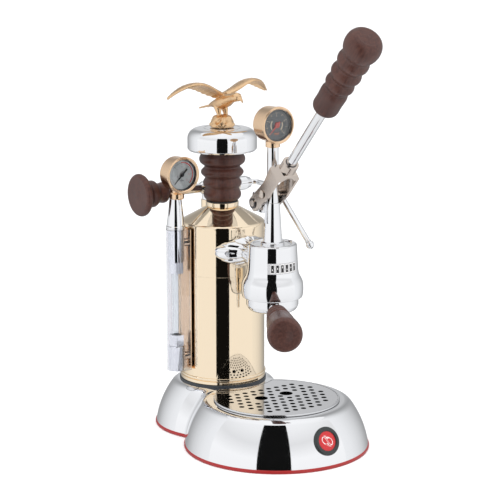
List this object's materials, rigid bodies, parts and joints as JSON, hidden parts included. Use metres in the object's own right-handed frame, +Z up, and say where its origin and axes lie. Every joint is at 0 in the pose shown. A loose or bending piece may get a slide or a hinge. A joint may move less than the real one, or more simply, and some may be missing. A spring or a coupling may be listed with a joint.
{
  "type": "espresso machine",
  "caption": "Hand lever espresso machine: upright boiler on a lobed drip base, piston group, sight glass, steam wand and eagle cap.",
  "frame": {"origin": "on the ground plane under the boiler's axis", "axes": "+Z up along the boiler, -Y to the front where the cup stands, +X to the right seen from the front"},
  "size_m": [0.2018, 0.3538, 0.4678],
  "materials": {
    "chrome": "polished chromium plate",
    "boiler_gold": "polished, gold plated",
    "gauge_gold": "polished brass, gold plated",
    "eagle_gold": "satin gold plated casting",
    "fork_nickel": "nickel plated steel, satin",
    "steel": "fine brushed stainless steel",
    "dark_wood": "dark stained beech, satin lacquer",
    "black_rubber": "matt",
    "red_rubber": "satin",
    "black_plastic": "fine moulded texture",
    "badge_red": null,
    "badge_grey": "smooth",
    "clear_glass": "clear",
    "clear_cover": "clear acrylic",
    "dial_white": "printed silver",
    "dial_dark": "printed dark grey",
    "needle_black": "matt",
    "needle_orange": "matt",
    "label_white": "printed strip"
  },
  "bodies": {
    "machine": {"base_shell": "chrome", "base_trim": "red_rubber", "base_plate": "black_plastic", "badge_ring": "badge_grey", "badge_disc": "badge_red", "switch_housing": "black_plastic", "cord_gland": "black_rubber", "boiler_shell": "boiler_gold", "boiler_base_ring": "boiler_gold", "boiler_seal": "black_rubber", "boiler_nut": "steel", "heating_element": "steel", "group_body": "chrome", "group_bolts": "steel", "guide_tower": "chrome", "cylinder_sleeve": "gauge_gold", "group_gasket": "black_rubber", "shower_screen": "steel", "temperature_strip": "label_white", "sight_top_fitting": "chrome", "sight_bottom_fitting": "chrome", "sight_nuts": "chrome", "sight_glass": "clear_glass", "sight_cover": "clear_cover", "sight_back_plate": "boiler_gold", "boiler_gauge_case": "gauge_gold", "boiler_gauge_dial": "dial_white", "boiler_gauge_glass": "clear_glass", "steam_valve_body": "chrome", "wand_nut": "chrome"},
    "power_rocker": {"switch_rocker": "badge_red"},
    "tray": {"drip_tray": "steel"},
    "grid": {"drip_grid": "steel"},
    "cap_lift": {"cap_gasket": "black_rubber"},
    "cap": {"cap_stud": "gauge_gold", "cap_grip": "dark_wood", "cap_disc": "chrome", "eagle_finial": "eagle_gold"},
    "piston_unit": {"piston": "gauge_gold", "piston_seals": "black_rubber", "piston_rod": "chrome", "piston_pin": "fork_nickel", "group_gauge_case": "gauge_gold", "group_gauge_dial": "dial_dark", "group_gauge_glass": "clear_glass"},
    "lever": {"lever_fork": "fork_nickel", "fulcrum_pin": "fork_nickel", "pin_clips": "steel", "lever_arm": "chrome", "lever_handle": "dark_wood"},
    "portafilter": {"portafilter_body": "chrome", "portafilter_spout": "chrome", "filter_basket": "steel", "portafilter_handle": "dark_wood"},
    "boiler_needle": {"boiler_gauge_needle": "needle_black"},
    "group_needle": {"group_gauge_needle": "needle_orange"},
    "steam_control": {"steam_spindle": "steel", "steam_knob": "dark_wood"},
    "wand": {"steam_wand": "chrome", "steam_tip": "chrome"}
  },
  "joints": [
    {"name": "piston_slide", "type": "slide", "parent": "machine", "child": "piston_unit", "axis": [0, 0, 1], "range_m": [-0.02, 0.0068]},
    {"name": "lever_swing", "type": "hinge", "parent": "piston_unit", "child": "lever", "pos_m": [0, -0.098, 0.278], "axis": [-1, 0, 0], "range_deg": [-60, 20]},
    {"name": "portafilter_turn", "type": "hinge", "parent": "machine", "child": "portafilter", "pos_m": [0, -0.098, 0.17], "axis": [0, 0, 1], "range_deg": [-40, 28]},
    {"name": "cap_rise", "type": "slide", "parent": "machine", "child": "cap_lift", "axis": [0, 0, 1], "range_m": [0, 0.006]},
    {"name": "cap_screw", "type": "hinge", "parent": "cap_lift", "child": "cap", "pos_m": [0, 0, 0.254], "axis": [0, 0, 1], "range_deg": [0, 720]},
    {"name": "steam_turn", "type": "hinge", "parent": "machine", "child": "steam_control", "pos_m": [-0.06, 0.029, 0.265], "axis": [-1, 0, 0], "range_deg": [0, 540]},
    {"name": "wand_swivel", "type": "hinge", "parent": "machine", "child": "wand", "pos_m": [0.0493, 0.029, 0.265], "axis": [1, 0, 0], "range_deg": [-35, 45]},
    {"name": "tray_lift", "type": "slide", "parent": "machine", "child": "tray", "axis": [0, 0, 1], "range_m": [0, 0.035]},
    {"name": "grid_lift", "type": "slide", "parent": "tray", "child": "grid", "axis": [0, 0, 1], "range_m": [0, 0.02]},
    {"name": "rocker_tilt", "type": "hinge", "parent": "machine", "child": "power_rocker", "pos_m": [0.09391, -0.1065, 0.026], "axis": [-0.3692, 0, 0.9294], "range_deg": [0, 8]},
    {"name": "boiler_needle_turn", "type": "hinge", "parent": "machine", "child": "boiler_needle", "pos_m": [-0.0605, -0.0131, 0.291], "axis": [0, 1, 0], "range_deg": [0, 270], "stiffness_Nm_per_rad": 0.0002},
    {"name": "group_needle_turn", "type": "hinge", "parent": "piston_unit", "child": "group_needle", "pos_m": [0, -0.1056, 0.352], "axis": [0, 1, 0], "range_deg": [0, 270], "stiffness_Nm_per_rad": 0.0002}
  ],
  "couplings": [
    {"joint": "piston_slide", "follows": "lever_swing", "m_per_rad": 0.019},
    {"joint": "cap_rise", "follows": "cap_screw", "m_per_rad": 0.00047746}
  ]
}
